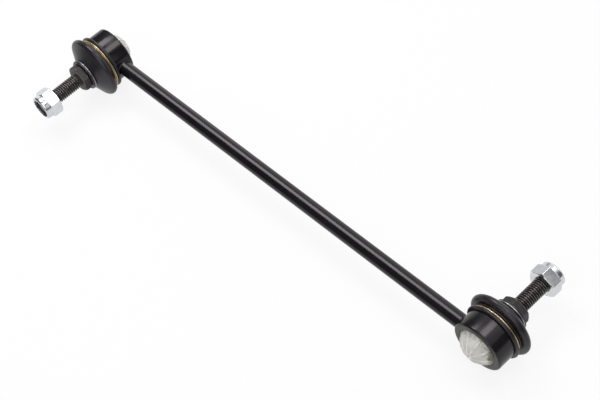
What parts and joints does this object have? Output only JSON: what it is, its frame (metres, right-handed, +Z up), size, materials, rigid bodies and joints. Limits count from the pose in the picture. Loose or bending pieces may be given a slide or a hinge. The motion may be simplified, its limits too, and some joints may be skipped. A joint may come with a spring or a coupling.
{
  "type": "stabilizer link",
  "caption": "Straight round-bar suspension link with a ball joint and a threaded stud at each end, the studs facing opposite ways, joining a stabilizer bar to a strut or arm.",
  "frame": {"origin": "midway between the two ball centres, at the centre of the bar", "axes": "+X along the bar to the right joint, +Y the way the right stud points (the left one points to -Y), +Z up with both studs level"},
  "size_m": [0.3704, 0.1168, 0.0424],
  "materials": {
    "black_paint": "semi-gloss black cathodic dip paint on steel",
    "natural_acetal": "natural white moulded acetal, a little translucent",
    "plain_steel": "plain bright steel",
    "boot_rubber": "matte black moulded rubber",
    "yellow_zinc": "yellow zinc plated spring wire",
    "dark_phosphate": "dark brown-black phosphated steel, lightly oiled",
    "bright_zinc": "bright zinc plated steel",
    "dark_nylon": "dark nylon"
  },
  "bodies": {
    "link": {"link_rod": "black_paint", "left_socket_housing": "black_paint", "left_ball_seat": "natural_acetal", "left_closing_ring": "plain_steel", "right_socket_housing": "black_paint", "right_ball_seat": "natural_acetal", "right_closing_ring": "plain_steel"},
    "left_boot": {"left_dust_boot": "boot_rubber", "left_boot_ring": "yellow_zinc"},
    "left_neck": {"left_neck_ring": "plain_steel"},
    "left_stud": {"left_ball_stud": "dark_phosphate"},
    "left_nut": {"left_lock_nut": "bright_zinc", "left_nut_insert": "dark_nylon"},
    "right_boot": {"right_dust_boot": "boot_rubber", "right_boot_ring": "yellow_zinc"},
    "right_neck": {"right_neck_ring": "plain_steel"},
    "right_stud": {"right_ball_stud": "dark_phosphate"},
    "right_nut": {"right_lock_nut": "bright_zinc", "right_nut_insert": "dark_nylon"}
  },
  "joints": [
    {"name": "left_boot_swivel", "type": "hinge", "parent": "link", "child": "left_boot", "pos_m": [-0.164, 0, 0], "axis": [0, -1, 0], "continuous": true},
    {"name": "left_stud_tilt", "type": "hinge", "parent": "left_boot", "child": "left_neck", "pos_m": [-0.164, 0, 0], "axis": [0, 0, 1], "range_deg": [-25, 25], "deforming": ["left_dust_boot"]},
    {"name": "left_stud_spin", "type": "hinge", "parent": "left_neck", "child": "left_stud", "pos_m": [-0.164, 0, 0], "axis": [0, -1, 0], "continuous": true},
    {"name": "left_nut_run", "type": "slide", "parent": "left_stud", "child": "left_nut", "axis": [0, -1, 0], "range_m": [-0.0195, 0.03]},
    {"name": "right_boot_swivel", "type": "hinge", "parent": "link", "child": "right_boot", "pos_m": [0.164, 0, 0], "axis": [0, 1, 0], "continuous": true},
    {"name": "right_stud_tilt", "type": "hinge", "parent": "right_boot", "child": "right_neck", "pos_m": [0.164, 0, 0], "axis": [0, 0, 1], "range_deg": [-25, 25], "deforming": ["right_dust_boot"]},
    {"name": "right_stud_spin", "type": "hinge", "parent": "right_neck", "child": "right_stud", "pos_m": [0.164, 0, 0], "axis": [0, 1, 0], "continuous": true},
    {"name": "right_nut_run", "type": "slide", "parent": "right_stud", "child": "right_nut", "axis": [0, 1, 0], "range_m": [-0.0195, 0.03]}
  ]
}
